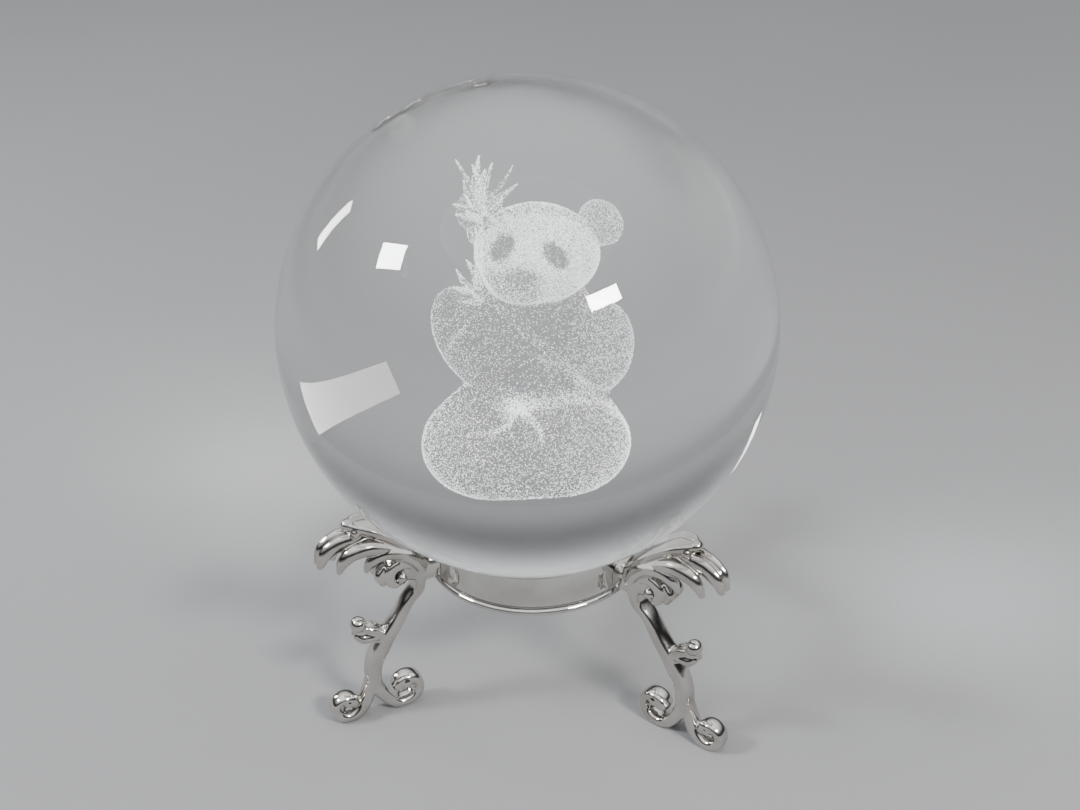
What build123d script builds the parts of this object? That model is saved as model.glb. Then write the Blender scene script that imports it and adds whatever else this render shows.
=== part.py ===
"""A clear glass ball with a sitting panda engraved inside it, resting on a plated stand with three scroll legs.

Millimetres, +Z up. The origin is on the ground under the centre of the ball, and the front of the object faces -Y.
"Left" and "right" are the viewer's, so left is -X. Leg sections are given as (distance out from the axis, height).
"""

import os
from math import cos, radians, sin, sqrt

from build123d import *

# Ball
BALL_RADIUS = 40.0
BALL_HEIGHT = 70.0  # centre of the ball above the ground
FIGURE_TURN = 9.0  # the ball lies turned this far in its seat, in degrees

# Ring that the ball rests on
RING_OUTER = 18.7
RING_INNER = 17.2
RING_BOTTOM = 26.2
BEAD_RADIUS = 0.6  # rolled bead round the lower edge
SEAT_OUTER = 18.4
SEAT_GAP = 0.1  # keeps the ball's surface clear of the conical seat

# Screws that hold the legs, driven outward from inside the ring
SCREW_HEIGHT = 29.4
SHANK_RADIUS = 1.0
SHANK_END = 22.6
HEAD_RADIUS = 2.0
HEAD_THICKNESS = 1.2
HEAD_ROUNDING = 0.7
HEAD_SEAT = sqrt(RING_INNER**2 - HEAD_RADIUS**2)  # the flat back of a head rests here, on the curved wall
SLOT_LENGTH = 2.6
SLOT_WIDTH = 0.6
SLOT_DEPTH = 0.6
BOSS_RADIUS = 2.9
BOSS_END = 23.4

# Cast legs
LEG_ANGLES = {"left": 210.0, "right": 330.0, "back": 90.0}
STEM_WIDTH = 3.4  # across the leg, at right angles to its scrolls
VOLUTE_WIDTH = 4.6
LOBE_WIDTH = 6.4
PETAL_WIDTH = 7.0
SECTIONS_PER_POINT = 2

# Engraved bamboo
STALK_RADIUS = 0.5
BLADE_WIDTH = 1.1
BLADE_THICKNESS = 0.5
WIDEST_PART = 0.4  # share of a blade's length, from its base, to its widest place


def ball_surface(radius):
    """Height of the underside of the ball at this distance from the axis."""
    return BALL_HEIGHT - sqrt(BALL_RADIUS**2 - radius**2)


def scroll(centre, start_radius, end_radius, start_angle, turn, steps):
    """Points of a flat spiral from its outer end to its eye."""
    points = []
    for step in range(steps + 1):
        part = step / steps
        radius = start_radius + (end_radius - start_radius) * part
        angle = radians(start_angle + turn * part)
        points.append((centre[0] + radius * cos(angle), centre[1] + radius * sin(angle)))
    return points


def along(values, part):
    """Value at this share of the way along a list of evenly spaced ones."""
    place = part * (len(values) - 1)
    low = min(int(place), len(values) - 2)
    return values[low] + (values[low + 1] - values[low]) * (place - low)


def limb(points, thicknesses, widths):
    """A rod of oval section along a smooth line through the points, in the plane of the leg."""
    line = Spline([(radius, 0, height) for radius, height in points])
    count = SECTIONS_PER_POINT * len(points)
    sections = []
    for step in range(count + 1):
        part = step / count
        plane = Plane(origin=line @ part, x_dir=(0, 1, 0), z_dir=line % part)
        sections.append(plane * Ellipse(along(widths, part) / 2, along(thicknesses, part) / 2))
    return loft(sections)


def knob(radius, height, size):
    return Pos(radius, 0, height) * Sphere(size)


def leg_casting():
    """One leg, standing along +X: volute and stem, two foot scrolls, a sprout and a cap of four leaf lobes."""
    volute = scroll((25.0, 28.9), 0.9, 3.3, -130, 330, 7)
    stem = [(22.3, 25.2), (24.4, 22.2), (26.3, 18.9), (28.7, 15.4), (30.8, 11.4), (31.4, 7.6), (30.4, 4.2)]
    inner_foot = scroll((26.0, 4.0), 3.5, 1.4, -50, -270, 7)
    spine = limb(
        volute + stem + inner_foot,
        [1.3, 1.8, 2.0, 2.2, 2.9, 3.6, 3.0, 2.1, 1.9, 1.6],
        [3.4, VOLUTE_WIDTH, VOLUTE_WIDTH, 4.0, STEM_WIDTH, STEM_WIDTH, STEM_WIDTH, 3.2, 3.0, 2.8],
    )
    outer_foot = limb(
        [(31.8, 9.6), (32.3, 6.2), (33.4, 2.9)] + scroll((36.8, 3.2), 2.6, 1.2, -125, 285, 7),
        [1.8, 2.6, 2.1, 1.9, 1.7, 1.5],
        [2.6, STEM_WIDTH, 3.2, 3.0, 3.0, 2.8],
    )
    sprout = limb(
        [(28.2, 15.4), (30.4, 17.0), (32.5, 18.1), (33.1, 19.8)],
        [2.4, 2.2, 2.0, 1.7],
        [3.0, 3.2, 3.4, 2.6],
    )
    petal = limb(
        [(22.2, 32.4), (25.6, 36.1), (29.2, 38.9), (32.6, 40.6)],
        [2.0, 1.7, 1.6, 1.5],
        [4.6, LOBE_WIDTH, PETAL_WIDTH, 3.2],
    )
    long_lobe = limb(
        [(22.2, 31.8), (26.6, 35.4), (31.4, 37.6), (35.4, 37.6), (38.2, 35.6)],
        [2.2, 2.2, 2.1, 2.0, 1.4],
        [4.6, LOBE_WIDTH, PETAL_WIDTH, 5.2, 2.6],
    )
    middle_lobe = limb(
        [(22.4, 31.2), (26.4, 33.8), (30.4, 34.9), (33.4, 34.5), (34.9, 32.9)],
        [2.2, 2.1, 2.0, 1.8, 1.3],
        [4.6, 6.0, LOBE_WIDTH, 5.0, 2.6],
    )
    short_lobe = limb(
        [(22.6, 30.8), (25.6, 32.6), (28.4, 33.2), (30.6, 32.0)],
        [2.0, 1.9, 1.7, 1.2],
        [4.6, 5.4, 5.0, 2.4],
    )
    boss = Pos(RING_INNER, 0, SCREW_HEIGHT) * Rot(0, 90, 0) * Cylinder(
        BOSS_RADIUS, BOSS_END - RING_INNER, align=(Align.CENTER, Align.CENTER, Align.MIN)
    )
    casting = spine + outer_foot
    for piece in (sprout, petal, long_lobe, middle_lobe, short_lobe, boss):
        casting += piece
    for piece in (knob(24.8, 28.4, 1.5), knob(25.9, 5.3, 1.6), knob(36.6, 3.9, 1.5)):
        casting += piece
    for piece in (knob(33.0, 20.1, 1.4), knob(32.9, 40.7, 1.2)):
        casting += piece
    return casting


def below_ground():
    """Block that trims the feet to small flats at ground level."""
    return Box(200, 200, 20, align=(Align.CENTER, Align.CENTER, Align.MAX))


def screw():
    """Pan-head machine screw along +X, its head inside the ring."""
    shank = Cylinder(SHANK_RADIUS, SHANK_END - HEAD_SEAT, align=(Align.CENTER, Align.CENTER, Align.MIN))
    head = Cylinder(HEAD_RADIUS, HEAD_THICKNESS, align=(Align.CENTER, Align.CENTER, Align.MAX))
    head = fillet(head.edges().sort_by(Axis.Z)[0], HEAD_ROUNDING)
    slot = Pos(0, 0, -HEAD_THICKNESS) * Box(
        SLOT_WIDTH, SLOT_LENGTH, SLOT_DEPTH, align=(Align.CENTER, Align.CENTER, Align.MIN)
    )
    whole = shank + head - slot - Rot(0, 0, 90) * slot
    return Pos(HEAD_SEAT, 0, SCREW_HEIGHT) * Rot(0, 90, 0) * whole


def stand_ring():
    """Plated ring with a conical seat and a rolled bead, before the screw pockets are cut."""
    seat = [(radius, ball_surface(radius) - SEAT_GAP) for radius in (RING_INNER, SEAT_OUTER)]
    wall = make_face(
        Polyline(
            (RING_INNER, RING_BOTTOM),
            (RING_OUTER, RING_BOTTOM),
            (RING_OUTER, seat[1][1]),
            seat[1],
            seat[0],
            close=True,
        )
    )
    bead = Pos(RING_OUTER, RING_BOTTOM + BEAD_RADIUS) * Circle(BEAD_RADIUS)
    return revolve(Plane.XZ * (wall + bead), Axis.Z)


def spheroid(centre, side_radius, axis_radius, axis=(0, 0, 1)):
    """A rounded body of revolution, longer or shorter along its axis than across it."""
    return Plane(origin=centre, z_dir=axis) * scale(Sphere(1), by=(side_radius, side_radius, axis_radius))


def rod(start, end, radius):
    """A straight round rod between two points."""
    direction = Vector(*end) - Vector(*start)
    return Plane(origin=start, z_dir=direction) * Cylinder(
        radius, direction.length, align=(Align.CENTER, Align.CENTER, Align.MIN)
    )


def blade(base, tip):
    """A slender flat bamboo leaf, pointed at both ends."""
    direction = Vector(*tip) - Vector(*base)
    half_width, widest = BLADE_WIDTH / 2, WIDEST_PART * direction.length
    outline = Polyline((0, 0), (widest, half_width), (direction.length, 0), (widest, -half_width), close=True)
    plane = Plane(origin=base, x_dir=direction, z_dir=direction.cross(Vector(1, 0, 0)))
    return plane * extrude(make_face(outline), BLADE_THICKNESS / 2, both=True)


def figure():
    """The solid zones of the engraving, facing -Y about the centre of the ball, with clear glass between them."""
    across, forward = (1, 0, 0), (0, 1, 0)
    paw, cheek = (7.0, -8.2, -3.8), (-5.4, -7.4, 9.2)
    stalk_top, tuft = (-5.0, -3.6, 16.4), (-5.0, -3.4, 17.0)
    tips = [(-7.9, -1.6, 24.4), (-5.0, -1.2, 24.2), (-3.3, -1.4, 23.6), (-1.2, -1.6, 22.8), (-0.7, -2.6, 20.8)]
    leaves = blade(tuft, (-8.2, -3.4, 18.4))
    for tip in tips:
        leaves += blade(tuft, tip)
    return {
        "bamboo_stalk": rod(paw, cheek, STALK_RADIUS) + rod(cheek, stalk_top, STALK_RADIUS),
        "bamboo_leaves": leaves,
        "head": spheroid((1.4, -2.0, 10.6), 5.2, 7.0, across),
        "nose": spheroid((-0.5, -8.0, 10.3), 0.6, 1.6, across),
        "eye_patch_left": spheroid((-2.6, -6.8, 12.9), 1.6, 0.4, (-0.3, -0.9, 0.4)),
        "eye_patch_right": spheroid((3.9, -7.0, 13.0), 1.6, 0.4, (0.2, -0.9, 0.4)),
        "ear_left": spheroid((-6.0, -0.9, 15.0), 2.0, 1.2, forward),
        "ear_right": spheroid((8.8, -0.9, 15.0), 2.0, 1.2, forward),
        "torso": spheroid((-0.2, -1.4, -0.5), 5.5, 5.6),
        "arm_left": spheroid((-8.6, -3.5, 0.5), 2.7, 5.5),
        "arm_right": spheroid((8.2, -3.5, -1.0), 2.7, 4.5),
        "leg_left": spheroid((-6.4, -8.2, -11.0), 4.6, 5.2, across),
        "leg_right": spheroid((4.6, -8.1, -10.9), 4.5, 5.2, across),
        "hips": spheroid((-1.0, 1.8, -11.4), 4.6, 9.0, across),
    }


def ball_and_engraving():
    """The ball, hollowed where it is engraved, and the engraved zones that fill the hollows face to face."""
    place = Pos(0, 0, BALL_HEIGHT) * Rot(0, 0, FIGURE_TURN)
    ball = Pos(0, 0, BALL_HEIGHT) * Sphere(BALL_RADIUS)
    zones = {"engraved_" + name: place * shape for name, shape in figure().items()}
    for zone in zones.values():
        ball -= zone
    return {"crystal_ball": ball, **zones}


def build():
    bead = Pos(0, 0, RING_BOTTOM + BEAD_RADIUS) * Torus(RING_OUTER, BEAD_RADIUS)
    leg = leg_casting() - below_ground() - (Cylinder(RING_OUTER, 200) + bead)
    leg -= screw()
    ring = stand_ring()
    parts = ball_and_engraving()
    for name, angle in LEG_ANGLES.items():
        turn = Rot(0, 0, angle)
        ring -= turn * screw()
        parts["leg_" + name] = turn * leg
        parts["leg_screw_" + name] = turn * screw()
    parts["stand_ring"] = ring
    return parts


os.makedirs("parts", exist_ok=True)
for name, shape in build().items():
    shape.label = name
    export_step(shape, f"parts/{name}.step")
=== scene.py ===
"""Looks of the crystal ball: clear glass, an engraved panda of micro-cracks and a silver-plated scroll stand.

Shapes are worked out in millimetres about the axis of the stand and scaled to metres when they become
objects.
"""

import math

import bmesh
import bpy
import numpy as np
from mathutils import Matrix, Vector


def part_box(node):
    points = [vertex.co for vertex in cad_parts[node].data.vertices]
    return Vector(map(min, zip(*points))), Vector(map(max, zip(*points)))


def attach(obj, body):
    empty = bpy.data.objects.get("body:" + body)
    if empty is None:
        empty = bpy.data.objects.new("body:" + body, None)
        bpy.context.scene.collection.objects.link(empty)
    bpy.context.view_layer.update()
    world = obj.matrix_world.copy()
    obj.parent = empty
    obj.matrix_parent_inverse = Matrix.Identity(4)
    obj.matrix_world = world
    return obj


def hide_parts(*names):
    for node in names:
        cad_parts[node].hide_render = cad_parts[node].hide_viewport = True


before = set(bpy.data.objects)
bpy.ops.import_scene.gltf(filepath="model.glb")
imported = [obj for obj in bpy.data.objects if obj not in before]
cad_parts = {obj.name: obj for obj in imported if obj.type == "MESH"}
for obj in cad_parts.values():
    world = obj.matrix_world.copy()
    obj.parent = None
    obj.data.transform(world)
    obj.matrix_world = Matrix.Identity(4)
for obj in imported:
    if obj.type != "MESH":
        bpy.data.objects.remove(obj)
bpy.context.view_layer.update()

MM = 0.001
SEED = 20

# Ball and figure
ball_low, ball_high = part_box("crystal_ball")
BALL_RADIUS = (ball_high.z - ball_low.z) / 2
BALL_CENTRE = (ball_low + ball_high) / 2
BALL_STEPS = 92  # squares along each side of the six nets that the ball is made of
FIGURE_TURN = 9.0  # degrees about the vertical that the ball lies turned in its seat
HEAD_YAW = -12.0  # degrees that the head is turned, a little to the viewer's left
GLASS_IOR = 1.517

# Stand, in millimetres
ring_low, ring_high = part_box("stand_ring")
RING_BOTTOM = ring_low.z / MM
RING_TOP = ring_high.z / MM
RING_INNER = 17.2
RING_OUTER = 18.7
BEAD_RADIUS = 0.6
RING_STEPS = 192
RING_LIP = 0.12  # rounding of the ring's upper outer edge
RING_SHARP = 40.0  # edges that turn by more degrees than this stay crisp
SCREW_HEIGHT = 29.4
HEAD_RADIUS = 2.0
THREAD_TURNS = 6
THREAD_PITCH = 0.7
SCREW_SIDES = 40
SCREW_SHARP = 35.0
LEG_ANGLES = {"left": 210.0, "right": 330.0, "back": 90.0}
LEG_VOXEL = 0.15
LEG_REACH = 39.8  # farthest from the axis that a casting may go
RING_CLEARANCE = 18.76  # the castings stop this far from the axis
SOFTENING_ROUNDS = 5

# Swept rods
ROD_SIDES = 24
STEPS_PER_SPAN = 24  # of the fine line that a rod's centre line is spaced out on
ROUNDED_END = (0.5, 0.82, 0.97)  # widths of the rings that round a rod off, from its tip inwards


# ---------------------------------------------------------------- helpers


def link(obj):
    bpy.context.scene.collection.objects.link(obj)
    return obj


def mesh_object(name, verts, faces, smooth=True):
    """Object from points in millimetres."""
    mesh = bpy.data.meshes.new(name)
    mesh.from_pydata((np.asarray(verts, float) * MM).tolist(), [], [list(map(int, f)) for f in faces])
    mesh.validate()
    mesh.update()
    if smooth:
        mesh.polygons.foreach_set("use_smooth", [True] * len(mesh.polygons))
    return link(bpy.data.objects.new(name, mesh))


def apply_modifiers(obj):
    """Replace the object's mesh by what its modifiers make of it."""
    graph = bpy.context.evaluated_depsgraph_get()
    mesh = bpy.data.meshes.new_from_object(obj.evaluated_get(graph))
    obj.modifiers.clear()
    old, obj.data = obj.data, mesh
    mesh.name = obj.name
    bpy.data.meshes.remove(old)


class Nodes:
    """Short hand for building a material's node tree."""

    def __init__(self, name):
        self.material = bpy.data.materials.new(name)
        self.material.use_nodes = True
        self.tree = self.material.node_tree
        self.tree.nodes.clear()
        self.output = self.tree.nodes.new("ShaderNodeOutputMaterial")

    def add(self, kind, **settings):
        node = self.tree.nodes.new("ShaderNode" + kind)
        for key, value in settings.items():
            setattr(node, key, value)
        return node

    def join(self, source, target):
        self.tree.links.new(source, target)

    def noise(self, scale, detail=4.0, roughness=0.5):
        """Noise in the object's own space, scale in features per metre."""
        place = self.add("TexCoord")
        noise = self.add("TexNoise")
        noise.inputs["Scale"].default_value = scale
        noise.inputs["Detail"].default_value = detail
        noise.inputs["Roughness"].default_value = roughness
        self.join(place.outputs["Object"], noise.inputs["Vector"])
        return noise.outputs["Fac"]

    def ramp(self, value, low, high, start, end):
        """Map value from low..high to start..end, clamped."""
        node = self.add("MapRange")
        node.inputs["From Min"].default_value = low
        node.inputs["From Max"].default_value = high
        node.inputs["To Min"].default_value = start
        node.inputs["To Max"].default_value = end
        self.join(value, node.inputs["Value"])
        return node.outputs["Result"]

    def mix_colour(self, factor, first, second):
        node = self.add("Mix", data_type="RGBA")
        node.inputs["A"].default_value = (*first, 1)
        node.inputs["B"].default_value = (*second, 1)
        self.join(factor, node.inputs["Factor"])
        return node.outputs["Result"]

    def math(self, operation, first, second):
        node = self.add("Math", operation=operation)
        for place, value in enumerate((first, second)):
            if isinstance(value, (int, float)):
                node.inputs[place].default_value = value
            else:
                self.join(value, node.inputs[place])
        return node.outputs["Value"]

    def bump(self, height, distance):
        node = self.add("Bump")
        node.inputs["Strength"].default_value = 1.0
        node.inputs["Distance"].default_value = distance
        self.join(height, node.inputs["Height"])
        return node.outputs["Normal"]

    def surface(self, shader):
        self.join(shader.outputs[0], self.output.inputs["Surface"])
        return self.material


# ---------------------------------------------------------------- materials


def plating(name, bright, dull, rough_low, rough_high, wave):
    """Silver plating: even shine, with faint cast waviness, hairlines and a warmer film in patches."""
    n = Nodes(name)
    shader = n.add("BsdfPrincipled")
    shader.inputs["Metallic"].default_value = 1.0
    film = n.ramp(n.noise(140, 5), 0.42, 0.66, 0.0, 1.0)
    n.join(n.mix_colour(film, bright, dull), shader.inputs["Base Color"])
    smears = n.noise(420, 6, 0.6)
    n.join(n.ramp(smears, 0.35, 0.7, rough_low, rough_high), shader.inputs["Roughness"])
    waves = n.math("ADD", n.noise(330, 2), n.math("MULTIPLY", n.noise(2600, 3), 0.12))
    n.join(n.bump(waves, wave), shader.inputs["Normal"])
    return n.surface(shader)


def clear_glass():
    """Polished optical glass with the faintest smudges, which lets lamp light through to what is in it."""
    n = Nodes("ball_glass")
    glass = n.add("BsdfPrincipled")
    glass.inputs["Base Color"].default_value = (0.985, 0.992, 0.988, 1)
    glass.inputs["Transmission Weight"].default_value = 1.0
    glass.inputs["IOR"].default_value = GLASS_IOR
    smudges = n.math("MULTIPLY", n.ramp(n.noise(55, 4), 0.55, 0.75, 0.0, 1.0), n.noise(900, 5, 0.7))
    n.join(n.ramp(smudges, 0.0, 0.6, 0.0, 0.018), glass.inputs["Roughness"])
    clear = n.add("BsdfTransparent")
    clear.inputs["Color"].default_value = (0.86, 0.88, 0.87, 1)
    path = n.add("LightPath")
    mix = n.add("MixShader")
    n.join(path.outputs["Is Shadow Ray"], mix.inputs["Fac"])
    n.join(glass.outputs[0], mix.inputs[1])
    n.join(clear.outputs[0], mix.inputs[2])
    return n.surface(mix)


def cracks(name, low, high):
    """White micro-cracks, some duller than others."""
    n = Nodes(name)
    shader = n.add("BsdfPrincipled")
    shader.inputs["Specular IOR Level"].default_value = 0.3
    shader.inputs["Roughness"].default_value = 0.6
    brightness = n.ramp(n.noise(5200, 2), 0.35, 0.65, 0.0, 1.0)
    n.join(n.mix_colour(brightness, low, high), shader.inputs["Base Color"])
    return n.surface(shader)


def screw_steel():
    n = Nodes("screw_steel")
    shader = n.add("BsdfPrincipled")
    shader.inputs["Metallic"].default_value = 1.0
    n.join(n.mix_colour(n.noise(800, 4), (0.5, 0.5, 0.49), (0.66, 0.65, 0.63)), shader.inputs["Base Color"])
    n.join(n.ramp(n.noise(1500, 5), 0.3, 0.7, 0.22, 0.4), shader.inputs["Roughness"])
    n.join(n.bump(n.noise(4000, 4), 0.00002), shader.inputs["Normal"])
    return n.surface(shader)


def floor_material():
    n = Nodes("floor")
    shader = n.add("BsdfPrincipled")
    tone = n.mix_colour(n.noise(8, 3), (0.175, 0.175, 0.178), (0.2, 0.2, 0.203))
    n.join(tone, shader.inputs["Base Color"])
    shader.inputs["Roughness"].default_value = 0.85
    shader.inputs["Specular IOR Level"].default_value = 0.2
    return n.surface(shader)


# ---------------------------------------------------------------- swept rods


def tube_faces(rows, sides):
    """Squares between neighbouring rings of the same number of points."""
    faces = []
    for row in range(rows - 1):
        for j in range(sides):
            after = (j + 1) % sides
            low, high = row * sides, (row + 1) * sides
            faces.append((low + j, low + after, high + after, high + j))
    return faces


def smooth_line(points, count):
    """Points evenly spaced along a smooth line through the given ones, and each one's share of the way."""
    points = np.asarray(points, float)
    ends = np.vstack([2 * points[0] - points[1], points, 2 * points[-1] - points[-2]])
    spans = len(points) - 1
    fine, shares = [], []
    for i in range(spans):
        a, b, c, d = ends[i : i + 4]
        for s in np.linspace(0, 1, STEPS_PER_SPAN, endpoint=False):
            slope = (c - a) * s
            bend = (2 * a - 5 * b + 4 * c - d) * s * s
            twist = (3 * b - a - 3 * c + d) * s**3
            fine.append((2 * b + slope + bend + twist) / 2)
            shares.append((i + s) / spans)
    fine.append(points[-1])
    shares.append(1.0)
    fine = np.array(fine)
    walk = np.concatenate([[0], np.cumsum(np.linalg.norm(np.diff(fine, axis=0), axis=1))])
    even = np.linspace(0, walk[-1], count)
    line = np.stack([np.interp(even, walk, fine[:, k]) for k in range(3)], axis=1)
    return line, np.interp(even, walk, shares)


def rod(points, thick, wide, square=2.0, count=None):
    """Closed rod with rounded ends through 3-D points, of oval section, or squarer where square is over 2.

    thick is in the plane of the leg and wide across it, both as lists spread evenly over the points."""
    count = count or 10 * len(points)
    line, shares = smooth_line(points, count)
    half_thick = np.interp(shares, np.linspace(0, 1, len(thick)), thick) / 2
    half_wide = np.interp(shares, np.linspace(0, 1, len(wide)), wide) / 2
    tangents = np.gradient(line, axis=0)
    tangents /= np.linalg.norm(tangents, axis=1)[:, None]
    across = np.array([0.0, 1.0, 0.0])
    side = across - tangents * (tangents @ across)[:, None]
    side /= np.linalg.norm(side, axis=1)[:, None]
    normal = np.cross(side, tangents)
    angles = np.linspace(0, 2 * math.pi, ROD_SIDES, endpoint=False)
    power = 2.0 / square
    shape_side = np.sign(np.cos(angles)) * np.abs(np.cos(angles)) ** power
    shape_normal = np.sign(np.sin(angles)) * np.abs(np.sin(angles)) ** power
    places = [(0, -math.sqrt(1 - scale**2), scale) for scale in ROUNDED_END]
    places += [(i, 0.0, 1.0) for i in range(count)]
    places += [(count - 1, math.sqrt(1 - scale**2), scale) for scale in reversed(ROUNDED_END)]
    rings = []
    for i, beyond, scale in places:
        centre = line[i] + tangents[i] * beyond * min(half_thick[i], half_wide[i])
        to_side = np.outer(shape_side * half_wide[i] * scale, side[i])
        to_normal = np.outer(shape_normal * half_thick[i] * scale, normal[i])
        rings.append(centre + to_side + to_normal)
    faces = tube_faces(len(rings), ROD_SIDES)
    faces.append(list(range(ROD_SIDES))[::-1])
    last = (len(rings) - 1) * ROD_SIDES
    faces.append([last + j for j in range(ROD_SIDES)])
    return np.concatenate(rings), faces


def blob(centre, radii, sides=20):
    """Small rounded lump."""
    verts, faces = [], []
    rows = sides // 2
    for i in range(1, rows):
        polar = math.pi * i / rows
        for j in range(sides):
            turn = 2 * math.pi * j / sides
            verts.append(
                (
                    centre[0] + radii[0] * math.sin(polar) * math.cos(turn),
                    centre[1] + radii[1] * math.sin(polar) * math.sin(turn),
                    centre[2] + radii[2] * math.cos(polar),
                )
            )
    for i in range(rows - 2):
        for j in range(sides):
            after = (j + 1) % sides
            faces.append((i * sides + j, (i + 1) * sides + j, (i + 1) * sides + after, i * sides + after))
    faces.append(list(range(sides)))
    faces.append([(rows - 2) * sides + j for j in range(sides)][::-1])
    return np.array(verts), faces


def flat(points):
    """3-D points in the plane of a leg that stands along +X, from (out, up)."""
    return [(radius, 0.0, height) for radius, height in points]


def scroll(centre, start_radius, end_radius, start_angle, turn, steps):
    """Spiral in the plane of the leg, as 3-D points."""
    points = []
    for step in range(steps + 1):
        part = step / steps
        radius = start_radius + (end_radius - start_radius) * part
        angle = math.radians(start_angle + turn * part)
        points.append((centre[0] + radius * math.cos(angle), centre[1] + radius * math.sin(angle)))
    return flat(points)


# ---------------------------------------------------------------- leg casting


# Every solid stands in one leg that points along +X. They are closed and overlap, and are fused afterwards.


def both_sides(points, sideways, thick, wide, square=2.0):
    """A rod on each side of the leg's plane, this far from it at each point."""
    rods = []
    for sign in (-1, 1):
        moved = [(r, sign * t, z) for (r, z), t in zip(points, sideways)]
        rods.append(rod(moved, thick, wide, square))
    return rods


def spine_solids():
    """A band curled into the volute, thickening into the stem and curling again into the inner foot."""
    curl = scroll((25.1, 28.9), 1.2, 3.4, -130, 330, 9)
    stem = [(22.2, 25.0), (24.3, 22.2), (26.3, 18.9), (28.7, 15.4), (30.8, 11.4), (31.4, 7.6), (30.4, 4.2)]
    inner_foot = scroll((26.0, 4.0), 3.5, 1.35, -50, -285, 8)
    thick = [1.3, 1.2, 1.2, 1.2, 1.3, 1.7, 2.5, 3.3, 2.7, 2.1, 1.9, 1.8, 2.0, 2.4]
    wide = [3.6, 4.0, 4.0, 3.8, 3.6, 3.4, 3.3, 3.4, 3.3, 3.2, 3.2, 3.2, 3.2, 3.4]
    solids = [rod(curl + flat(stem) + inner_foot, thick, wide, 2.8, 420)]
    rim_thick = [1.4, 1.9, 2.1, 2.1, 2.0, 1.9, 1.5, 0.6]
    rim_wide = [0.9, 1.2, 1.3, 1.3, 1.3, 1.2, 0.9, 0.4]
    for sign in (-1, 1):
        rim = [(r, sign * 1.95, z) for r, _, z in curl[2:]]
        rim += [(22.2, sign * 1.65, 25.0), (24.2, sign * 1.1, 22.3), (25.6, sign * 0.6, 20.2)]
        solids.append(rod(rim, rim_thick, rim_wide, count=170))
    solids.append(blob((24.9, 0, 28.4), (1.4, 2.45, 1.4)))
    knuckle = [(27.9, 31.2), (28.8, 29.7), (28.2, 28.0)]
    solids += both_sides(knuckle, (1.0, 1.2, 1.0), [1.4, 1.9, 1.3], [1.6, 2.0, 1.5])
    solids.append(blob((25.8, 0, 5.2), (1.55, 2.0, 1.5)))
    return solids


def outer_foot_solids():
    line = flat([(31.4, 10.4), (32.2, 6.4), (33.4, 2.9)]) + scroll((36.7, 3.25), 2.7, 1.25, -125, 285, 8)
    thick = [1.6, 2.4, 2.5, 2.1, 1.9, 1.8, 2.0, 2.3]
    wide = [2.4, 3.2, 3.3, 3.2, 3.0, 3.1, 3.2, 3.3]
    return [rod(line, thick, wide, 2.3, 180), blob((36.4, 0, 4.1), (1.35, 1.9, 1.3))]


def sprout_solids():
    """A stubby leaf with two ridges, a bump below and an upturned knob."""
    leaf = flat([(28.2, 15.4), (30.2, 17.2), (32.0, 17.7), (33.2, 18.8)])
    ridge = [(28.6, 16.6), (30.6, 18.3), (32.2, 19.0)]
    bump = [(30.2, 17.0), (32.4, 17.2), (33.6, 18.0)]
    solids = [rod(leaf, [2.6, 2.6, 2.4, 2.0], [2.8, 3.0, 2.8, 2.2])]
    solids += both_sides(ridge, (0.7, 1.0, 0.8), [1.3, 1.4, 1.0], [1.0, 1.1, 0.8])
    solids += both_sides(bump, (0.9, 1.0, 0.6), [1.5, 1.8, 1.5], [1.4, 1.5, 1.2])
    solids.append(blob((33.0, 0, 19.9), (1.45, 1.5, 1.4)))
    return solids


def petal_solids():
    """The upper leaf of the cap, with a raised edge and three berries at its tip."""
    middle = flat([(20.8, 31.6), (25.0, 35.9), (28.9, 38.9), (32.0, 40.2)])
    edge = [(21.6, 32.2), (25.2, 36.7), (28.9, 39.6), (31.4, 40.6), (32.6, 40.7)]
    solids = [rod(middle, [2.2, 1.9, 1.6, 1.2], [4.6, 6.2, 5.8, 3.0], 2.4)]
    solids += both_sides(edge, (2.0, 3.0, 2.8, 1.8, 0.8), [1.5, 1.4, 1.4, 1.4, 1.3], [1.1, 1.1])
    solids.append(blob((33.0, 0, 40.8), (1.1, 1.15, 1.05)))
    for sign in (-1, 1):
        solids.append(blob((32.0, sign * 1.5, 39.9), (0.95, 0.9, 0.9)))
    return solids


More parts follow.
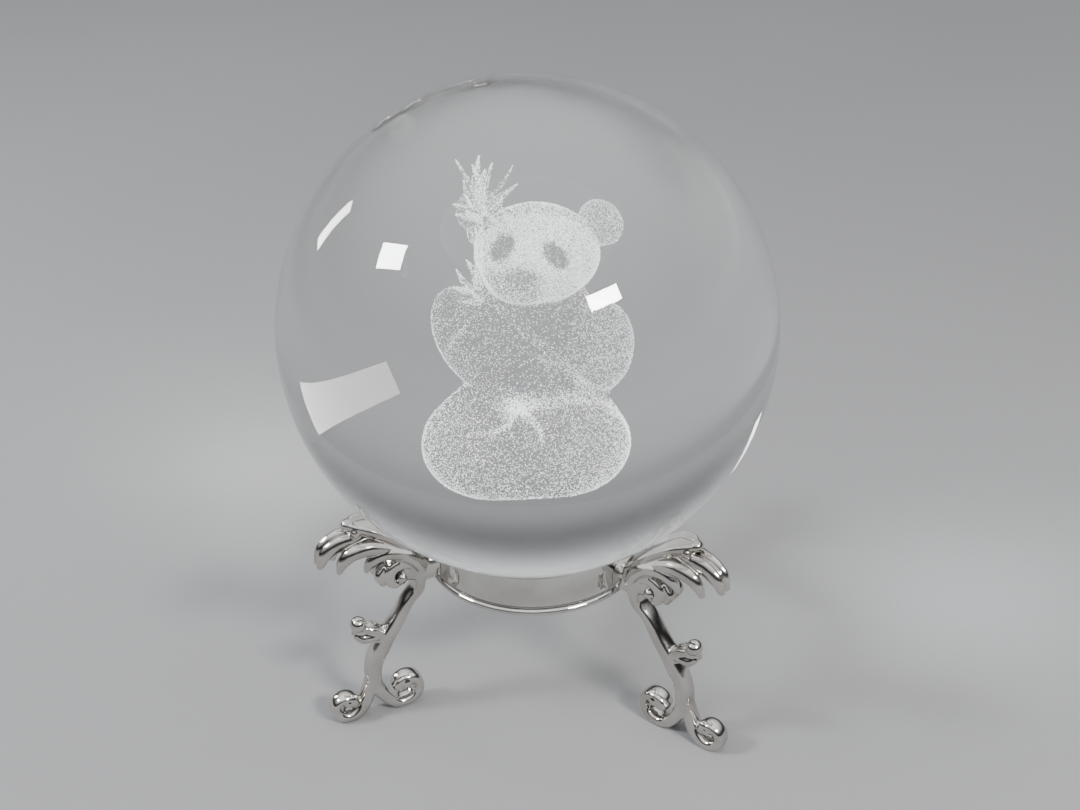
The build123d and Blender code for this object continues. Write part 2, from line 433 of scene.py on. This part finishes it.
def lobe_solids():
    """The drooping lobes of the cap: a long pair, two lower pairs beside it, and what joins them."""
    long_line = [(20.8, 30.8), (25.8, 35.3), (30.6, 38.0), (34.6, 38.1), (37.3, 36.5), (38.3, 34.4)]
    long_thick = [2.8, 3.0, 3.1, 3.0, 2.6, 1.4]
    long_wide = [1.9, 2.1, 2.2, 2.1, 1.9, 1.2]
    solids = both_sides(long_line, (0.8, 0.95, 1.0, 1.0, 0.9, 0.7), long_thick, long_wide, 1.8)
    second = [(20.8, 30.2), (25.4, 34.6), (29.6, 36.9), (32.9, 36.8), (34.8, 35.4), (35.5, 33.4)]
    second_thick = [2.8, 3.0, 3.0, 2.8, 2.3, 1.2]
    second_wide = [2.2, 2.5, 2.6, 2.4, 2.1, 1.2]
    solids += both_sides(second, (1.7, 2.4, 2.7, 2.7, 2.5, 2.1), second_thick, second_wide, 1.8)
    hood = [(21.4, 27.4), (22.0, 31.0), (24.8, 34.3), (28.1, 35.4), (30.3, 34.4), (31.1, 32.6)]
    hood_thick = [1.4, 2.2, 2.5, 2.5, 2.1, 1.1]
    hood_wide = [1.3, 1.9, 2.2, 2.2, 1.9, 1.1]
    solids += both_sides(hood, (1.9, 2.4, 2.9, 3.1, 2.9, 2.5), hood_thick, hood_wide, 1.8)
    underside = flat([(20.8, 29.8), (25.4, 33.8), (30.0, 36.2), (33.6, 36.4)])
    solids.append(rod(underside, [2.8, 3.2, 3.0, 1.6], [4.0, 5.2, 5.0, 3.2], 2.4))
    return solids


def boss_solids():
    """The boss that takes the screw, against the ring."""
    line = flat([(18.4, SCREW_HEIGHT), (20.6, SCREW_HEIGHT), (23.0, SCREW_HEIGHT)])
    return [rod(line, [5.8, 5.8, 5.0], [5.8, 5.8, 4.6], 2.4)]


def keep_in_place(mesh):
    """Press the casting's points against the ring and the ground, and hold them within its reach."""
    points = np.empty(len(mesh.vertices) * 3)
    mesh.vertices.foreach_get("co", points)
    points = points.reshape(-1, 3) / MM
    reach = np.hypot(points[:, 0], points[:, 1])
    near = reach < RING_CLEARANCE
    points[near, :2] *= (RING_CLEARANCE / reach[near])[:, None]
    far = reach > LEG_REACH
    points[far, :2] *= (LEG_REACH / reach[far])[:, None]
    points[:, 2] = np.maximum(points[:, 2], 0.0)
    mesh.vertices.foreach_set("co", (points * MM).ravel())


def leg_mesh():
    """All the solids fused into one casting, softened like a plated one."""
    solids = spine_solids() + outer_foot_solids() + sprout_solids()
    solids += petal_solids() + lobe_solids() + boss_solids()
    verts, faces, offset = [], [], 0
    for part_verts, part_faces in solids:
        verts.append(part_verts)
        faces += [[v + offset for v in face] for face in part_faces]
        offset += len(part_verts)
    obj = mesh_object("leg_source", np.concatenate(verts), faces)
    remesh = obj.modifiers.new("fuse", "REMESH")
    remesh.mode = "VOXEL"
    remesh.voxel_size = LEG_VOXEL * MM
    remesh.adaptivity = 0.0
    soften = obj.modifiers.new("soften", "SMOOTH")
    soften.factor = 0.5
    soften.iterations = SOFTENING_ROUNDS
    apply_modifiers(obj)
    mesh = obj.data
    keep_in_place(mesh)
    mesh.polygons.foreach_set("use_smooth", [True] * len(mesh.polygons))
    mesh.update()
    bpy.data.objects.remove(obj)
    mesh.name = "leg_casting"
    return mesh


def build_legs(material):
    mesh = leg_mesh()
    mesh.materials.clear()
    mesh.materials.append(material)
    for name, angle in LEG_ANGLES.items():
        turned = mesh.copy()
        turned.transform(Matrix.Rotation(math.radians(angle), 4, "Z"))
        leg = link(bpy.data.objects.new("casting_" + name, turned))
        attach(leg, "stand")
        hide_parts("leg_" + name)


# ---------------------------------------------------------------- ring and screws


def lathe(profile):
    """Closed ring from a closed profile of (radius, height) points."""
    verts, faces = [], []
    count = len(profile)
    for step in range(RING_STEPS):
        angle = 2 * math.pi * step / RING_STEPS
        for radius, height in profile:
            verts.append((radius * math.cos(angle), radius * math.sin(angle), height))
    for step in range(RING_STEPS):
        after = (step + 1) % RING_STEPS
        for i in range(count):
            j = (i + 1) % count
            faces.append((step * count + i, after * count + i, after * count + j, step * count + j))
    return verts, faces


def arc(centre, radius, start, end, steps):
    points = []
    for step in range(steps + 1):
        angle = math.radians(start + (end - start) * step / steps)
        points.append((centre[0] + radius * math.cos(angle), centre[1] + radius * math.sin(angle)))
    return points


def build_ring(material):
    """Rolled ring: bead and fine bulge at the bottom, soft lip, groove and conical seat at the top."""
    screw_zone = (SCREW_HEIGHT - 2.2, SCREW_HEIGHT + 2.2)
    profile = [(RING_INNER, RING_BOTTOM + height) for height in (0.25, 1.5)]
    profile += [(RING_INNER, height) for height in (*screw_zone, RING_TOP - 0.7)]
    profile += [(RING_OUTER - 0.45, RING_TOP - 0.02)]
    profile += arc((RING_OUTER - RING_LIP, RING_TOP - RING_LIP - 0.02), RING_LIP, 90, 0, 5)
    profile += [(RING_OUTER, RING_TOP - 0.6), (RING_OUTER - 0.05, RING_TOP - 0.72)]
    profile += [(RING_OUTER, RING_TOP - 0.84)]
    profile += [(RING_OUTER, height) for height in (SCREW_HEIGHT + 2.0, SCREW_HEIGHT, RING_BOTTOM + 1.75)]
    profile += arc((RING_OUTER - 0.02, RING_BOTTOM + 1.5), 0.14, 60, -60, 4)
    profile += [(RING_OUTER - 0.1, RING_BOTTOM + 2 * BEAD_RADIUS + 0.02)]
    profile += arc((RING_OUTER, RING_BOTTOM + BEAD_RADIUS), BEAD_RADIUS, 80, -95, 14)
    profile += [(RING_OUTER - 0.5, RING_BOTTOM + 0.05), (RING_INNER + 0.25, RING_BOTTOM)]
    verts, faces = lathe(profile)
    ring = mesh_object("polished_ring", verts, faces)
    ring.data.materials.append(material)
    ring.data.set_sharp_from_angle(angle=math.radians(RING_SHARP))
    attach(ring, "stand")
    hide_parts("stand_ring")


def screw_blank():
    """Pan head, neck, shank with thread-like grooves and a blunt tip, turned about Z with the head down."""
    profile = [(0.5, -1.19), (1.0, -1.13), (1.45, -0.98), (1.75, -0.76), (1.93, -0.48), (HEAD_RADIUS, -0.15)]
    profile += [(1.98, 0.0), (1.0, 0.0), (1.0, 0.3)]
    for turn in range(THREAD_TURNS):
        low = 0.4 + THREAD_PITCH * turn
        profile += [(0.86, low + 0.18), (0.98, low + 0.42), (0.98, low + 0.5)]
    profile += [(0.9, 4.9), (0.6, 5.3)]
    verts = []
    for radius, height in profile:
        for step in range(SCREW_SIDES):
            angle = 2 * math.pi * step / SCREW_SIDES
            verts.append((radius * math.cos(angle), radius * math.sin(angle), height))
    faces = tube_faces(len(profile), SCREW_SIDES)
    top, tip = len(verts), len(verts) + 1
    verts += [(0, 0, -1.2), (0, 0, 5.4)]
    for step in range(SCREW_SIDES):
        after = (step + 1) % SCREW_SIDES
        last_row = (len(profile) - 1) * SCREW_SIDES
        faces.append((top, after, step))
        faces.append((tip, last_row + step, last_row + after))
    return mesh_object("screw_source", verts, faces)


def recess_arm(turn):
    """Tapered block that cuts one bar of the crossed recess."""
    corners = []
    for length, width, depth in ((1.25, 0.27, -1.6), (0.45, 0.2, -0.45)):
        corners += [(x * length, y * width, depth) for x, y in ((1, 1), (-1, 1), (-1, -1), (1, -1))]
    sides = [(0, 1, 2, 3), (7, 6, 5, 4), (0, 4, 5, 1), (1, 5, 6, 2), (2, 6, 7, 3), (3, 7, 4, 0)]
    arm = mesh_object("cutter", corners, sides, smooth=False)
    arm.data.transform(Matrix.Rotation(math.radians(turn), 4, "Z"))
    return arm


def screw_mesh():
    source = screw_blank()
    cutters = [recess_arm(0), recess_arm(90)]
    for cutter in cutters:
        cut = source.modifiers.new("recess", "BOOLEAN")
        cut.operation = "DIFFERENCE"
        cut.solver = "EXACT"
        cut.object = cutter
    apply_modifiers(source)
    for cutter in cutters:
        bpy.data.objects.remove(cutter)
    mesh = source.data
    bpy.data.objects.remove(source)
    mesh.set_sharp_from_angle(angle=math.radians(SCREW_SHARP))
    return mesh


def build_screws(material):
    """Screws driven outward from inside the ring, the flat of each head on the curved wall."""
    seat = math.sqrt(RING_INNER**2 - HEAD_RADIUS**2)
    mesh = screw_mesh()
    mesh.materials.clear()
    mesh.materials.append(material)
    lay = Matrix.Rotation(math.radians(90), 4, "Y")
    out = Matrix.Translation(Vector((seat, 0, SCREW_HEIGHT)) * MM)
    for name, angle in LEG_ANGLES.items():
        turned = mesh.copy()
        turned.transform(Matrix.Rotation(math.radians(angle), 4, "Z") @ out @ lay)
        screw = link(bpy.data.objects.new("screw_" + name, turned))
        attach(screw, "stand")
        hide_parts("leg_screw_" + name)


# ---------------------------------------------------------------- ball


def build_ball(material):
    """The ball as an even net of small squares, so that neither pole shows in the glass."""
    spacing = np.tan(np.linspace(-math.pi / 4, math.pi / 4, BALL_STEPS + 1))
    bm = bmesh.new()
    sides = [(0, 1, 2, 1), (0, 1, 2, -1), (1, 2, 0, 1), (1, 2, 0, -1), (2, 0, 1, 1), (2, 0, 1, -1)]
    for first, second, fixed, sign in sides:
        grid = []
        for u in spacing:
            row = []
            for v in spacing:
                point = [0.0, 0.0, 0.0]
                point[first], point[second], point[fixed] = u, v * sign, sign
                row.append(bm.verts.new(Vector(point).normalized() * BALL_RADIUS))
            grid.append(row)
        for i in range(BALL_STEPS):
            for j in range(BALL_STEPS):
                bm.faces.new((grid[i][j], grid[i + 1][j], grid[i + 1][j + 1], grid[i][j + 1]))
    bmesh.ops.remove_doubles(bm, verts=bm.verts, dist=1e-6)
    bmesh.ops.recalc_face_normals(bm, faces=bm.faces)
    mesh = bpy.data.meshes.new("glass_ball")
    bm.to_mesh(mesh)
    bm.free()
    mesh.polygons.foreach_set("use_smooth", [True] * len(mesh.polygons))
    mesh.transform(Matrix.Translation(BALL_CENTRE))
    ball = link(bpy.data.objects.new("glass_ball", mesh))
    mesh.materials.append(material)
    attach(ball, "ball")
    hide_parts("crystal_ball")


# ---------------------------------------------------------------- engraving

# Forms of the figure in millimetres about the centre of the ball, facing -Y:
# centre, radii, tilt in degrees about Y, dots per square millimetre of skin and per cubic millimetre under it
FORMS = {
    "head": ((1.4, -2.0, 10.6), (7.0, 6.0, 5.3), 0, 67, 28),
    "muzzle": ((-0.2, -6.0, 9.0), (3.4, 2.6, 2.3), 0, 40, 6),
    "ear_left": ((-5.5, 0.5, 13.7), (2.6, 1.4, 3.0), 0, 9, 1),
    "ear_right": ((8.3, 0.5, 13.7), (2.6, 1.4, 3.0), 0, 30, 2),
    "torso": ((-0.2, -1.4, 1.2), (7.4, 6.2, 7.8), 0, 6, 0.1),
    "arm_left": ((-6.4, -4.4, 1.6), (3.6, 4.0, 6.2), -24, 10, 0.4),
    "arm_right": ((7.7, -4.4, -0.2), (3.8, 4.2, 5.2), 10, 19, 1.6),
    "leg_left": ((-5.9, -7.6, -10.6), (5.8, 5.8, 4.9), 6, 25, 2.2),
    "leg_right": ((4.8, -7.6, -10.6), (5.8, 5.8, 4.9), -6, 25, 2.2),
    "hips": ((-0.8, -5.2, -10.2), (9.4, 7.4, 6.5), 0, 12, 0.8),
}
SOFTNESS = {  # how softly a form melts into the ones before it, in millimetres
    "head": 0.6,
    "muzzle": 1.6,
    "ear_left": 0.4,
    "ear_right": 0.4,
    "torso": 0.8,
    "arm_left": 0.7,
    "arm_right": 0.7,
}
OTHER_SOFTNESS = 3.0
HIDDEN_DEPTH = 0.1  # dots of the skin that are deeper than this inside another form are left out
CREASE_THINNING = 0.85  # share of the dots left out per millimetre moved, so they don't crowd in the creases
SURFACE_POWER = 1.6  # of the usual approximation for the surface of an ellipsoid
DRAWS_PER_DOT = 4  # directions drawn for each dot wanted, because the ones that crowd are thrown away
UNDER_SKIN = 0.97  # the inner dots fill this share of a form's radii
# Dark patches of the coat in the picture plane:
# centre (across, up), half width, half height, tilt in degrees, and the share of the dots that is left
PATCHES = {
    "eye_patch_left": ((-2.45, 9.0), 1.2, 1.85, -36.0, 0.05),
    "eye_patch_right": ((3.55, 8.0), 1.15, 1.95, 40.0, 0.05),
    "nose": ((-0.4, 5.7), 1.7, 0.75, 0.0, 0.35),
}
PATCH_RAGGEDNESS = 0.1  # spread of its edge, as a share of its size
VIEW_UP = (0.485, 0.875)  # the picture plane leans back: height in it is made of these shares of Y and Z
BACK_OF_HEAD = 0.3  # share of the dots left on the far side of the head

# Bamboo, in the same millimetres
PAW = (7.0, -8.2, -3.8)
CHEEK = (-5.4, -7.4, 9.2)
TUFT = (-5.0, -3.4, 17.0)
KNOT_SPACING = 3.2
KNOT_LENGTH = 0.2
KNOT_SWELL = 0.35
LEAVES = [  # where they spring from, narrowest and widest leaf, tips
    (TUFT, 0.5, 1.1,
     [(-7.9, -1.6, 24.4), (-5.0, -1.2, 24.4), (-3.4, -1.4, 23.2), (-1.0, -1.6, 22.8), (-0.5, -2.6, 20.6)]),
    (TUFT, 0.7, 1.3,
     [(-5.8, -0.4, 22.4), (-2.3, -2.8, 18.8), (-7.8, -3.0, 16.8), (-6.8, -1.0, 20.4), (-4.2, 0.6, 20.6)]),
    (TUFT, 0.6, 1.2,
     [(-6.6, -6.0, 19.4), (-3.0, -5.2, 17.0), (-6.6, 0.2, 17.4), (-8.1, -3.4, 18.6), (-5.6, -5.6, 14.0)]),
    (CHEEK, 0.7, 1.2,
     [(-7.8, -5.6, 10.9), (-8.3, -6.4, 9.0), (-7.2, -6.6, 7.2), (-6.6, -5.4, 12.0)]),
]
LEAF_BASE_SPREAD = 0.6  # how far apart the bases of the leaves of one tuft are
LEAF_SWAY = 0.09  # how far a leaf bends sideways, as a share of its length
LEAF_DENSITY = (35, 80)  # dots per square millimetre, from the faintest leaf to the brightest
EDGE_SHARE = 0.4  # share of a leaf's dots that outline it
MIDRIB_SHARE = 0.2

# Dots
DOT_RADII = (0.042, 0.07)  # smallest and largest, in millimetres
DOT_SCATTER = 0.04
SPARSE_ZONES = {"eye_patch_left", "eye_patch_right", "nose", "ear_left", "ear_right", "arm_left", "arm_right"}


def figure_tilt(form):
    angle = math.radians(FORMS[form][2])
    c, s = math.cos(angle), math.sin(angle)
    return np.array([[c, 0, s], [0, 1, 0], [-s, 0, c]])


def ellipsoid_distance(points, form):
    """Roughly the distance outside an ellipsoid, negative inside."""
    centre, radii = FORMS[form][:2]
    local = (points - np.array(centre)) @ figure_tilt(form)
    k0 = np.linalg.norm(local / radii, axis=1)
    k1 = np.linalg.norm(local / np.square(radii), axis=1)
    return k0 * (k0 - 1) / np.maximum(k1, 1e-6)


def body_distance(points):
    """Distance to the whole figure, its forms softly blended."""
    first, *others = FORMS
    total = ellipsoid_distance(points, first)
    for form in others:
        distance = ellipsoid_distance(points, form)
        soft = SOFTNESS.get(form, OTHER_SOFTNESS)
        share = np.clip(0.5 + 0.5 * (total - distance) / soft, 0, 1)
        total = total * (1 - share) + distance * share - soft * share * (1 - share)
    return total


def body_slope(points, step=0.01):
    """How the distance to the figure changes along each axis."""
    slopes = [body_distance(points + step * axis) - body_distance(points - step * axis) for axis in np.eye(3)]
    return np.stack(slopes, axis=1) / (2 * step)


def onto_body(points, rounds=4):
    """Move points onto the skin of the figure."""
    for _ in range(rounds):
        slope = body_slope(points)
        steepness = np.maximum((slope**2).sum(1), 0.05)
        points = points - slope * (body_distance(points) / steepness)[:, None]
    return points


def skin_points(rng, form, per_area):
    """Dots spread evenly over the surface of one form."""
    centre, radii = (np.array(value) for value in FORMS[form][:2])
    a, b, c = radii**SURFACE_POWER
    area = 4 * math.pi * ((a * b + a * c + b * c) / 3) ** (1 / SURFACE_POWER)
    wanted = int(area * per_area)
    directions = rng.normal(size=(DRAWS_PER_DOT * wanted, 3))
    directions /= np.linalg.norm(directions, axis=1)[:, None]
    stretch = np.linalg.norm(directions / radii, axis=1) * radii.min()
    even = directions[rng.random(DRAWS_PER_DOT * wanted) < stretch][:wanted]
    return (even * radii) @ figure_tilt(form).T + centre


def inner_points(rng, form, per_volume):
    """Dots spread evenly through one form."""
    centre, radii = (np.array(value) for value in FORMS[form][:2])
    within = rng.uniform(-1, 1, (int(8 * radii.prod() * per_volume), 3))
    within = within[np.linalg.norm(within, axis=1) < UNDER_SKIN]
    return (within * radii) @ figure_tilt(form).T + centre


def form_points(rng, form):
    """Dots of one form: evenly over the part of its skin that shows, and thinner under it."""
    per_area, per_volume = FORMS[form][3:]
    skin = skin_points(rng, form, per_area)
    within = inner_points(rng, form, per_volume)
    others = [other for other in FORMS if other != form]
    skin = skin[np.min([ellipsoid_distance(skin, other) for other in others], axis=0) > -HIDDEN_DEPTH]
    within = within[np.min([ellipsoid_distance(within, other) for other in others], axis=0) > 0]
    melted = onto_body(skin)
    moved = np.linalg.norm(melted - skin, axis=1)
    melted = melted[rng.random(len(melted)) > CREASE_THINNING * moved]
    return np.concatenate([melted, within])


def patch_of(rng, points):
    """Name of the dark patch that each dot of the head lies in, or an empty string. The edges are ragged."""
    names = np.full(len(points), "", dtype=object)
    height = points[:, 1] * VIEW_UP[0] + points[:, 2] * VIEW_UP[1]
    for name, ((across, up), half_width, half_height, tilt, _) in PATCHES.items():
        angle = math.radians(tilt)
        dx, du = points[:, 0] - across, height - up
        along_width = dx * math.cos(angle) + du * math.sin(angle)
        along_height = du * math.cos(angle) - dx * math.sin(angle)
        spread = np.hypot(along_width / half_width, along_height / half_height)
        names[spread < 1 + rng.normal(0, PATCH_RAGGEDNESS, len(points))] = name
    return names


def upright_turn(degrees):
    angle = math.radians(degrees)
    c, s = math.cos(angle), math.sin(angle)
    return np.array([[c, -s, 0], [s, c, 0], [0, 0, 1]])


def turn_head(points):
    """The head and ears are turned about the neck."""
    pivot = np.array(FORMS["head"][0])
    return (points - pivot) @ upright_turn(HEAD_YAW).T + pivot


def leaf_points(rng, base, tip, width):
    """Dots over one pointed bamboo leaf that sways a little, crowded along its midrib and edges."""
    base = np.array(base) + rng.normal(0, LEAF_BASE_SPREAD, 3)
    direction = np.array(tip) - base
    length = np.linalg.norm(direction)
    side = np.cross(direction, (0.2, 1.0, 0.1))
    side /= np.linalg.norm(side)
    sway = length * (rng.uniform(-LEAF_SWAY, LEAF_SWAY) * side + np.array((0.0, -0.05, 0.015)))
    count = int(length * width * rng.uniform(*LEAF_DENSITY))
    along = rng.random(count) ** 0.75
    outlined = rng.random(count) < EDGE_SHARE
    edge = np.where(outlined, np.sign(rng.random(count) - 0.5), rng.uniform(-1, 1, count))
    edge[rng.random(count) < MIDRIB_SHARE] = 0.0
    half = width / 2 * np.sin(np.pi * along**0.75) ** 0.8
    straight = base + np.outer(along, direction) + np.outer(edge * half, side)
    return straight + np.outer(np.sin(np.pi * along), sway)


def stalk_points(rng, start, end, radius, count):
    """Dots on a bamboo stalk with thicker knots."""
    start, end = np.array(start), np.array(end)
    direction = end - start
    length = np.linalg.norm(direction)
    direction /= length
    side = np.cross(direction, (0.0, 1.0, 0.0))
    side /= np.linalg.norm(side)
    other = np.cross(direction, side)
    along = rng.random(count) * length
    from_knot = np.abs((along + 1.2) % KNOT_SPACING - KNOT_SPACING / 2)
    size = radius * (1 + KNOT_SWELL * np.exp(-((from_knot / KNOT_LENGTH) ** 2)))
    turn = rng.random(count) * 2 * math.pi
    middle = start + np.outer(along, direction)
    return middle + np.outer(size * np.cos(turn), side) + np.outer(size * np.sin(turn), other)


def dot_cloud(rng, zone, points, material):
    """One mesh of tiny flattened crystals, each a crack left by one laser pulse."""
    points = points + rng.normal(0, DOT_SCATTER, points.shape)
    count = len(points)
    sizes = rng.uniform(*DOT_RADII, count)
    corners = np.array([(1, 0, 0), (0, 1, 0), (-1, 0, 0), (0, -1, 0), (0, 0, 1), (0, 0, -1)], float)
    upper, lower = [(0, 1, 4), (1, 2, 4), (2, 3, 4), (3, 0, 4)], [(1, 0, 5), (2, 1, 5), (3, 2, 5), (0, 3, 5)]
    triangles = np.array(upper + lower)
    axes = rng.normal(size=(count, 2, 3))
    first = axes[:, 0] / np.linalg.norm(axes[:, 0], axis=1)[:, None]
    second = axes[:, 1] - first * (axes[:, 1] * first).sum(1)[:, None]
    second /= np.linalg.norm(second, axis=1)[:, None]
    turned = np.stack([first, second, np.cross(first, second)], axis=1)
    stretch = rng.uniform((0.8, 0.8, 0.6), (1.2, 1.2, 1.0), (count, 3))
    scaled = corners[None] * (sizes[:, None] * stretch)[:, None, :]
    verts = points[:, None] + np.einsum("nck,nkd->ncd", scaled, turned)
    verts = verts.reshape(-1, 3) @ upright_turn(FIGURE_TURN).T + np.array(BALL_CENTRE) / MM
    faces = (triangles[None] + len(corners) * np.arange(count)[:, None, None]).reshape(-1, 3)
    mesh = bpy.data.meshes.new("dots_" + zone)
    mesh.from_pydata((verts * MM).tolist(), [], faces.tolist())
    mesh.update()
    mesh.materials.append(material)
    obj = link(bpy.data.objects.new("dots_" + zone, mesh))
    node = "engraved_" + zone
    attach(obj, "ball")
    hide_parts(node)


def engrave_forms(rng):
    """Dots of head and body, in lists by zone. The dark patches of the face are zones of their own."""
    zones = {}
    for form in FORMS:
        points = form_points(rng, form)
        if form in ("head", "muzzle"):
            points = turn_head(points)
            near = points[:, 1] < FORMS["head"][0][1]
            points = points[near | (rng.random(len(points)) < BACK_OF_HEAD)]
            patches = patch_of(rng, points)
            for patch, (*_, keep) in PATCHES.items():
                chosen = points[patches == patch]
                zones.setdefault(patch, []).append(chosen[rng.random(len(chosen)) < keep])
            zones.setdefault("head", []).append(points[patches == ""])
        elif form.startswith("ear"):
            zones[form] = [turn_head(points)]
        else:
            zones[form] = [points]
    return zones


def draw_contours(rng, zones):
    """Lines crowded with dots: edges of the arms and paw, folds of the legs and the glow where they meet."""

    def draw(zone, points, count, spread):
        line = smooth_line(points, count)[0]
        zones[zone].append(onto_body(onto_body(line + rng.normal(0, spread, line.shape))))

    draw("arm_right", [(1.2, -8.4, 0.2), (4.5, -8.4, -2.2), (7.7, -7.4, -3.8), (9.4, -6.0, -4.5)], 420, 0.3)
    draw("arm_right", [(6.8, -8.0, 0.2), (8.4, -7.4, 0.4), (10.4, -5.4, -0.4)], 160, 0.2)
    draw("arm_left", [(-8.4, -7.0, 2.0), (-7.7, -7.0, 3.2), (-6.9, -7.0, 4.6)], 140, 0.16)
    draw("arm_left", [(-10.4, -4.0, 2.6), (-9.2, -5.0, -0.6), (-7.4, -6.0, -3.6)], 240, 0.2)
    thigh = [(-1.5, -9.6, -4.9), (1.5, -9.4, -4.2), (5.6, -8.4, -4.3), (8.7, -7.0, -6.5), (9.9, -7.0, -10.8)]
    draw("leg_right", thigh, 1500, 0.55)
    draw("leg_right", [(-1.0, -10.0, -5.0), (0.4, -11.0, -6.0), (1.4, -11.6, -8.2)], 330, 0.26)
    draw("leg_left", [(-1.6, -10.0, -5.0), (-2.6, -11.0, -6.6), (-4.8, -11.4, -7.4)], 330, 0.26)
    draw("hips", [(-2.6, -9.4, -4.8), (-1.5, -9.6, -4.8), (-0.4, -9.4, -4.8)], 900, 0.75)


def engrave_bamboo(rng, zones):
    across_body = stalk_points(rng, PAW, CHEEK, 0.5, 420)
    beside_head = stalk_points(rng, CHEEK, TUFT, 0.4, 800)
    zones["bamboo_stalk"] = [across_body, beside_head]
    zones["bamboo_leaves"] = []
    for base, narrowest, widest, tips in LEAVES:
        for tip in tips:
            zones["bamboo_leaves"].append(leaf_points(rng, base, tip, rng.uniform(narrowest, widest)))


def build_engraving(bright, sparse):
    rng = np.random.default_rng(SEED)
    zones = engrave_forms(rng)
    draw_contours(rng, zones)
    engrave_bamboo(rng, zones)
    for zone, parts in zones.items():
        if zone in SPARSE_ZONES:
            dot_cloud(rng, zone, np.concatenate(parts), sparse)
        else:
            dot_cloud(rng, zone, np.concatenate(parts), bright)


# ---------------------------------------------------------------- camera, lights, floor


CAMERA_PLACE = (9.66, 29.0, 0.2566)  # azimuth and elevation from the ball in degrees, and metres away
CAMERA_HEADING = 9.28
CAMERA_PITCH = 31.8  # downwards
CAMERA_ROLL = -2.12
LAMP_DISTANCE = 0.5
FLOOR_RADIUS = 14.0  # metres, so that its edge is far off in every view
FLOOR_SIDES = 96


def around_ball(azimuth, elevation, distance):
    """Point seen from the ball's centre at this azimuth (0 is -Y, positive towards +X) and elevation."""
    a, e = math.radians(azimuth), math.radians(elevation)
    direction = Vector((math.sin(a) * math.cos(e), -math.cos(a) * math.cos(e), math.sin(e)))
    return BALL_CENTRE + distance * direction


def softbox(name, azimuth, elevation, width, height, roll, power, colour):
    """Rectangular lamp aimed at the ball, turned by roll degrees about its own aim."""
    data = bpy.data.lights.new(name, "AREA")
    data.shape = "RECTANGLE"
    data.size = width
    data.size_y = height
    data.energy = power
    data.color = colour
    lamp = link(bpy.data.objects.new(name, data))
    place = around_ball(azimuth, elevation, LAMP_DISTANCE)
    aim = (BALL_CENTRE - place).to_track_quat("-Z", "Y").to_matrix().to_4x4()
    lamp.matrix_world = Matrix.Translation(place) @ aim @ Matrix.Rotation(math.radians(roll), 4, "Z")
    lamp.visible_camera = False


def build_camera():
    data = bpy.data.cameras.new("camera")
    data.lens = 53.33
    data.sensor_width = 36.0
    data.clip_start = 0.01
    camera = link(bpy.data.objects.new("camera", data))
    turn = (
        Matrix.Rotation(math.radians(CAMERA_HEADING), 4, "Z")
        @ Matrix.Rotation(math.radians(90 - CAMERA_PITCH), 4, "X")
        @ Matrix.Rotation(math.radians(CAMERA_ROLL), 4, "Z")
    )
    camera.matrix_world = Matrix.Translation(around_ball(*CAMERA_PLACE)) @ turn
    bpy.context.scene.camera = camera


def build_stage():
    """Pale floor, a soft key lamp, a cooler one at the side and a narrow one low behind."""
    rim = [2 * math.pi * side / FLOOR_SIDES for side in range(FLOOR_SIDES)]
    corners = [(FLOOR_RADIUS / MM * math.cos(angle), FLOOR_RADIUS / MM * math.sin(angle), 0) for angle in rim]
    floor = mesh_object("floor", corners, [range(FLOOR_SIDES)], smooth=False)
    floor.data.materials.append(floor_material())
    build_sky()
    softbox("key", 49, 34, 0.125, 0.055, 0, 4.2, (1.0, 0.98, 0.95))
    softbox("side", -72, 36, 0.105, 0.08, 35, 3.2, (0.95, 0.98, 1.0))
    softbox("rim", -113, 15, 0.04, 0.14, 0, 0.55, (1.0, 0.99, 0.97))


def build_sky():
    """Dim room: a backdrop that fades upwards from the brightness of the floor, and a soft glow at the top."""
    world = bpy.data.worlds.new("studio")
    bpy.context.scene.world = world
    world.use_nodes = True
    tree = world.node_tree
    background = tree.nodes["Background"]
    background.inputs["Color"].default_value = (0.95, 0.97, 1.0, 1)
    direction = tree.nodes.new("ShaderNodeTexCoord")
    split = tree.nodes.new("ShaderNodeSeparateXYZ")
    tree.links.new(direction.outputs["Generated"], split.inputs["Vector"])
    both = tree.nodes.new("ShaderNodeMath")
    both.operation = "ADD"
    backdrop, glow = (0.0, 0.2, 0.27, 0.03), (0.22, 1.0, 0.0, 2.0)
    for term, (low, high, start, end) in zip(both.inputs, (backdrop, glow)):
        fade = tree.nodes.new("ShaderNodeMapRange")
        fade.interpolation_type = "SMOOTHSTEP"
        fade.inputs["From Min"].default_value = low
        fade.inputs["From Max"].default_value = high
        fade.inputs["To Min"].default_value = start
        fade.inputs["To Max"].default_value = end
        tree.links.new(split.outputs["Z"], fade.inputs["Value"])
        tree.links.new(fade.outputs["Result"], term)
    tree.links.new(both.outputs["Value"], background.inputs["Strength"])


build_camera()
build_stage()
silver = plating("plated_casting", (0.62, 0.6, 0.57), (0.48, 0.455, 0.42), 0.05, 0.13, 0.00006)
polished = plating("plated_ring", (0.64, 0.63, 0.61), (0.54, 0.52, 0.49), 0.04, 0.1, 0.000015)
build_ring(polished)
build_legs(silver)
build_screws(screw_steel())
build_engraving(cracks("engraved_dots", (0.84, 0.86, 0.87), (0.97, 0.98, 0.98)),
                cracks("engraved_sparse", (0.6, 0.62, 0.64), (0.86, 0.88, 0.89)))
build_ball(clear_glass())
